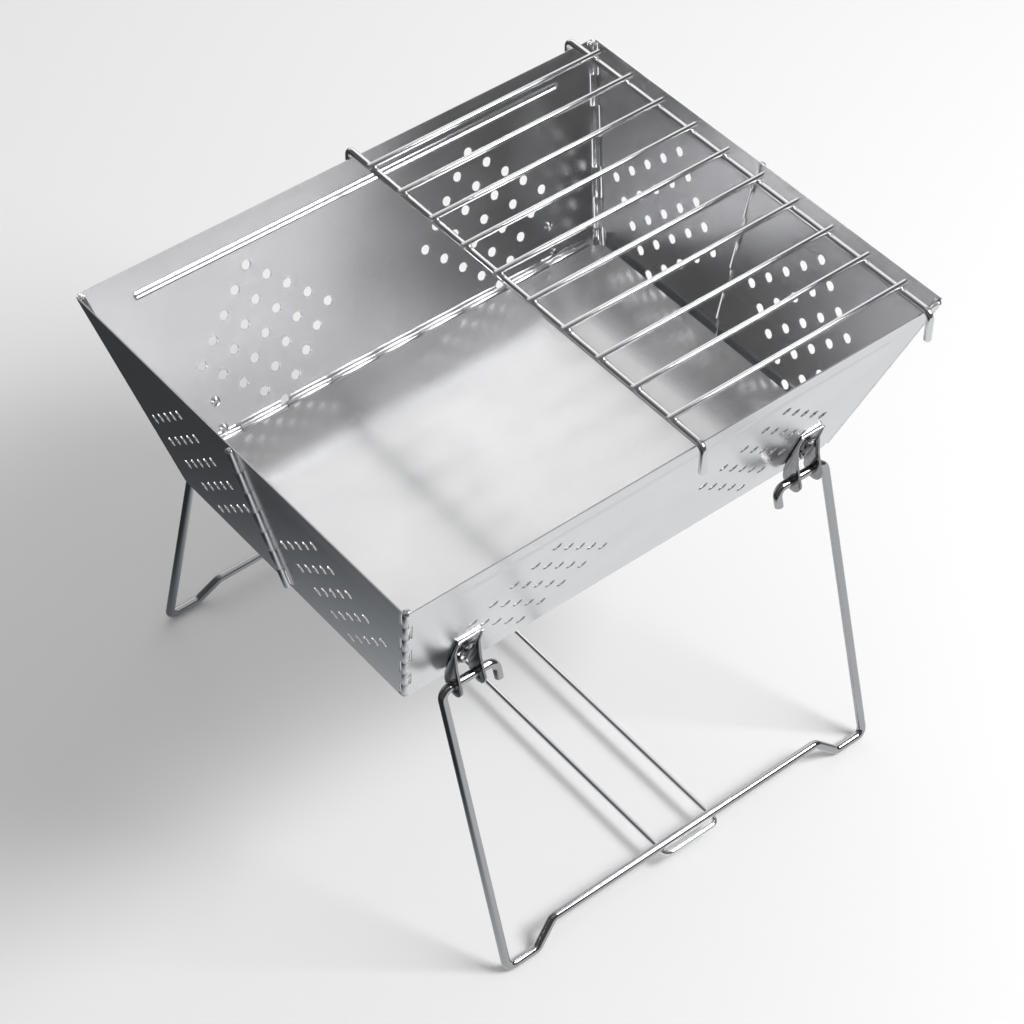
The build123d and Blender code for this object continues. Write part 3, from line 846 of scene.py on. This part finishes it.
SCREW = screw_mesh()
NUT = nut_mesh()
for wall_name, wall_place in (("front", FRONT), ("rear", REAR)):
    for kind, source in (("screws", SCREW), ("nuts", NUT)):
        set_bm = bmesh.new()
        for s in (-1, 1):
            for n, drop in enumerate(SCREW_DROPS):
                turned = Matrix.Rotation(math.radians(23 * n + 31 * s), 4, "Z")
                placed_copy(set_bm, source, wall_place.matrix(s * SCREW_X, -drop) @ turned)
        finish_piece(set_bm, f"{wall_name}_{kind}_set", wall_name + "_wall",
                     SCREW_STEEL, f"{wall_name}_{kind}", 35)


# Wires
def leg_piece(name, depth_way):
    """A leg wire: half of it is listed in its own plane, from the pivot, and mirrored."""
    up = Vector((0, -depth_way * LEG_SIN, LEG_COS))
    origin = Vector((0, depth_way * PIVOT_Y, PIVOT_Z))
    half = [
        (LEG_INNER, -LEG_END_DROP), (LEG_INNER, 0), (LEG_OUTER, 0),
        (LEG_OUTER, -LEG), (FOOT_INNER, -LEG), (LEG_INNER, -LEG + RAISED),
    ]
    flat = [(-x, y) for x, y in half] + half[::-1]
    points = [origin + Vector((x, 0, 0)) + up * y for x, y in flat]
    bm = bmesh.new()
    add_wire(bm, fillet_path(points, LEG_BEND), LEG_RADIUS, 32)
    finish_piece(bm, name + "_wire", name, DARKENED_LEG_STEEL, name)


def spreader_piece():
    """The hairpin: two eyes on the rear run, and a bow under the front run."""
    bm = bmesh.new()
    rear_z = RUN_Z - EYE
    bow_z = rear_z - SPREADER_GAP
    bow_y = -RUN_Y - SPREADER_REACH
    path = [
        (-SPREADER_HALF, RUN_Y, rear_z), (-SPREADER_HALF, bow_y, bow_z),
        (SPREADER_HALF, bow_y, bow_z), (SPREADER_HALF, RUN_Y, rear_z),
    ]
    add_wire(bm, fillet_path(path, SPREADER_BEND), SPREADER_RADIUS)
    for s in (-1, 1):
        centre = Vector((s * SPREADER_HALF, RUN_Y, RUN_Z))
        add_ring(bm, centre, ALONG_X, EYE, SPREADER_RADIUS)
    finish_piece(bm, "spreader_wire", "spreader", WIRE_STEEL, "spreader")


def rod_piece(name, x):
    """A rod across the firebox, hooked over both walls."""
    path = [
        (x, -ROD_END, ROD_Z - HOOK_DROP), (x, -ROD_END, ROD_Z),
        (x, ROD_END, ROD_Z), (x, ROD_END, ROD_Z - HOOK_DROP),
    ]
    bm = bmesh.new()
    add_wire(bm, fillet_path(path, ROD_BEND), ROD_RADIUS, 28)
    finish_piece(bm, name + "_wire", "grate", WIRE_STEEL, name)


def bars_piece():
    """Ten bars, with a bead of weld on each side at each crossing."""
    bm = bmesh.new()
    z = ROD_Z + ROD_RADIUS + BAR_WIRE - BAR_SINK
    for i in range(BARS):
        y = (i - (BARS - 1) / 2) * BAR_STEP
        add_wire(bm, [Vector((x, y, z)) for x in BAR_ENDS], BAR_RADIUS)
        for x in RODS.values():
            for s in (-1, 1):
                centre = Vector((x, y + s * WELD_OUT, z - WELD_DROP))
                add_turned(bm, centre, ALONG_X, WELD, 16)
    finish_piece(bm, "grate_bars_wires", "grate", WIRE_STEEL, "grate_bars")


leg_piece("front_leg", -1)
leg_piece("rear_leg", 1)
spreader_piece()
for rod_name, rod_x in RODS.items():
    rod_piece(rod_name, rod_x)
bars_piece()


# Studio
def studio_floor():
    """A plain pale floor. In the steel's mirror it glows instead, a painted reflection with
    painted shade: darker on the left and light in front.
    """
    bm = bmesh.new()
    bmesh.ops.create_grid(bm, x_segments=1, y_segments=1, size=12.0)
    floor = loose_object(bm, "studio_floor")
    floor.location.z = -0.0005
    white = bpy.data.materials.new("studio_white")
    white.use_nodes = True
    tree = white.node_tree
    shader = tree.nodes["Principled BSDF"]
    shader.inputs["Base Color"].default_value = (0.92, 0.92, 0.92, 1)
    shader.inputs["Roughness"].default_value = 0.9
    shader.inputs["Specular IOR Level"].default_value = 0.0
    floor.data.materials.append(white)

    coords = node_at(tree, "ShaderNodeTexCoord").outputs["Object"]
    # Painted shade: reflections see an emission that fades dark towards the left, in place of the
    # firebox's shadow on a lit floor
    along = along_way(tree, coords, (1, -0.4, 0))
    painted_shade_ramp = map_range(tree, along, -0.31, -0.02, 0.05, 0.85, interpolation_type="SMOOTHSTEP")
    tone = node_at(tree, "ShaderNodeValToRGB")
    tone.color_ramp.elements[0].color = (0.86, 0.93, 1, 1)
    tone.color_ramp.elements[1].color = (1, 1, 1, 1)
    painted_reflection_glow = node_at(tree, "ShaderNodeEmission")
    tree.links.new(painted_shade_ramp, tone.inputs["Fac"])
    tree.links.new(tone.outputs["Color"], painted_reflection_glow.inputs["Color"])
    tree.links.new(painted_shade_ramp, painted_reflection_glow.inputs["Strength"])
    rays = node_at(tree, "ShaderNodeLightPath").outputs
    seen = mix_shaders(tree, rays["Is Glossy Ray"], shader.outputs[0], painted_reflection_glow.outputs[0])
    tree.links.new(seen, tree.nodes["Material Output"].inputs["Surface"])


def studio_world():
    """Soft white light; the steel mirrors a bright card and ceiling, and the camera sees white."""
    world = bpy.data.worlds.new("studio")
    bpy.context.scene.world = world
    world.use_nodes = True
    tree = world.node_tree
    fill = tree.nodes["Background"]
    fill.inputs["Color"].default_value = (1, 1, 1, 1)
    fill.inputs["Strength"].default_value = 0.45
    coords = node_at(tree, "ShaderNodeTexCoord").outputs["Generated"]
    toward = along_way(tree, coords, (0.5, 0.8, 0))
    card = map_range(tree, toward, 0.5, 0.8, 0.13, 1.25, interpolation_type="SMOOTHSTEP")
    parts = node_at(tree, "ShaderNodeSeparateXYZ")
    tree.links.new(coords, parts.inputs[0])
    ceiling = map_range(tree, parts.outputs["Z"], 0.76, 0.97, 0.0, 0.45,
                        interpolation_type="SMOOTHSTEP")
    both = node_at(tree, "ShaderNodeMath", operation="ADD")
    tree.links.new(card, both.inputs[0])
    tree.links.new(ceiling, both.inputs[1])
    mirrored = node_at(tree, "ShaderNodeBackground")
    tree.links.new(both.outputs[0], mirrored.inputs["Strength"])
    behind = node_at(tree, "ShaderNodeBackground", {"Strength": 0.88})
    rays = node_at(tree, "ShaderNodeLightPath").outputs
    lit = mix_shaders(tree, rays["Is Glossy Ray"], fill.outputs[0], mirrored.outputs[0])
    seen = mix_shaders(tree, rays["Is Camera Ray"], lit, behind.outputs[0])
    tree.links.new(seen, tree.nodes["World Output"].inputs["Surface"])


def area_light(name, place, target, size, power):
    data = bpy.data.lights.new(name, "AREA")
    data.shape = "RECTANGLE"
    data.size, data.size_y = size
    data.energy = power
    lamp = bpy.data.objects.new(name, data)
    bpy.context.scene.collection.objects.link(lamp)
    lamp.location = place
    lamp.rotation_euler = (Vector(target) - Vector(place)).to_track_quat("-Z", "Y").to_euler()


studio_floor()
area_light("overhead", (1.0, 1.3, 2.0), (0, 0, 0.22), (2.4, 1.8), 7)
area_light("key", (1.3, -1.5, 2.2), (0, 0, 0.2), (1.2, 1.0), 60)
studio_world()

# Camera, fitted to the photograph
FOCAL_PIXELS = 2903.8
PHOTO_PIXELS = 1024
SENSOR = 36.0
DOWN = 46.4
HEADING = 51.4
scene = bpy.context.scene
scene.view_settings.view_transform = "Standard"
lens = bpy.data.cameras.new("photo_view")
lens.sensor_width = SENSOR
lens.lens = FOCAL_PIXELS / PHOTO_PIXELS * SENSOR
lens.clip_start = 0.05
lens.clip_end = 60
camera = bpy.data.objects.new("photo_view", lens)
scene.collection.objects.link(camera)
camera.location = (-0.7963, -1.0002, 1.5035)
camera.rotation_euler = (math.radians(90 - DOWN), 0, math.radians(HEADING - 90))
scene.camera = camera
